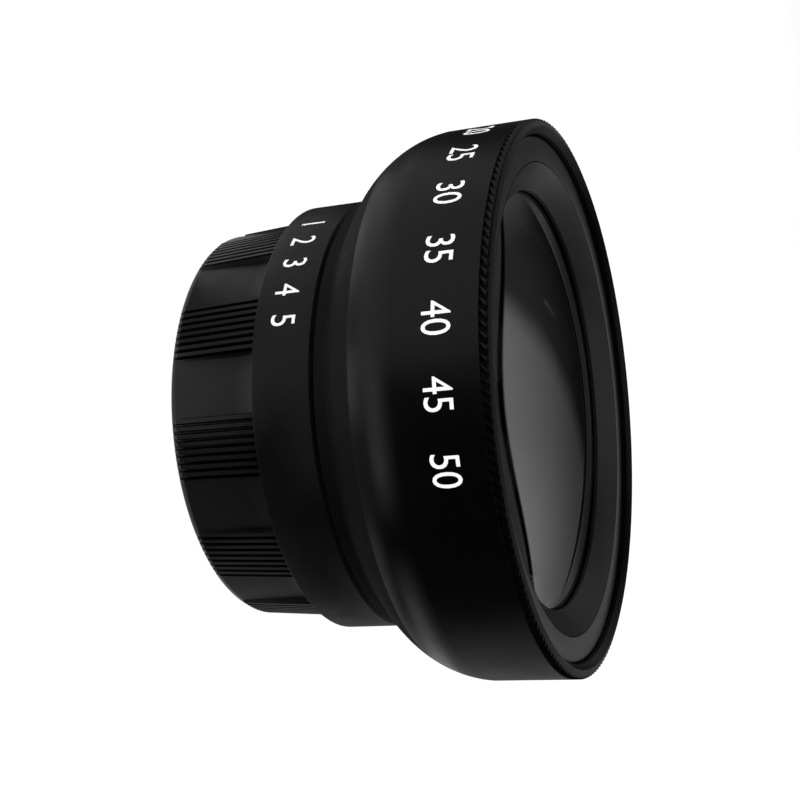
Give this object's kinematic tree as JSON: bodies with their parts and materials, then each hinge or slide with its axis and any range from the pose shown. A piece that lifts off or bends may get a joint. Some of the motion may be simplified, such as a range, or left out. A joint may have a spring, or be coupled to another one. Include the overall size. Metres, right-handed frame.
{
  "type": "wide-angle and close-up converter lens for a phone",
  "caption": "Round black converter lens with a flared wide-angle barrel, a screw-on close-up section behind it and a ribbed screw cap on its rear thread.",
  "frame": {"origin": "centre of the rear cap's rear face, on the optical axis", "axes": "+Z along the optical axis from the rear cap to the front glass"},
  "size_m": [0.054, 0.054, 0.0336],
  "materials": {
    "cap_plastic": "moulded, low sheen",
    "band_black": "fine satin black anodised",
    "barrel_black": "smooth satin black anodised",
    "ring_black": "turned and anodised black",
    "coated_glass": "polished and coated",
    "white_print": "thin white print, for the figures and marks that are printed on the band and the cylinder"
  },
  "bodies": {
    "cap": {"rear_cap": "cap_plastic"},
    "macro_glass": {"macro_crown_lens": "coated_glass", "macro_flint_lens": "coated_glass"},
    "macro_section": {"macro_barrel": "band_black", "macro_retaining_ring": "ring_black"},
    "wide_glass": {"wide_rear_lens": "coated_glass", "front_lens": "coated_glass"},
    "wide_section": {"wide_barrel": "barrel_black", "wide_rear_retaining_ring": "ring_black", "front_lock_ring": "ring_black", "front_trim_ring": "ring_black"}
  },
  "joints": [
    {"name": "cap_thread_rise", "type": "slide", "parent": "cap", "child": "macro_glass", "axis": [0, 0, 1], "range_m": [0, 0.0045]},
    {"name": "cap_thread_turn", "type": "hinge", "parent": "macro_glass", "child": "macro_section", "pos_m": [0, 0, 0.007], "axis": [0, 0, 1], "range_deg": [0, 2160]},
    {"name": "section_thread_rise", "type": "slide", "parent": "macro_section", "child": "wide_glass", "axis": [0, 0, 1], "range_m": [0, 0.003]},
    {"name": "section_thread_turn", "type": "hinge", "parent": "wide_glass", "child": "wide_section", "pos_m": [0, 0, 0.014], "axis": [0, 0, 1], "range_deg": [0, 1440]}
  ],
  "couplings": [
    {"joint": "cap_thread_rise", "follows": "cap_thread_turn", "m_per_rad": 0.00011937},
    {"joint": "section_thread_rise", "follows": "section_thread_turn", "m_per_rad": 0.00011937}
  ]
}
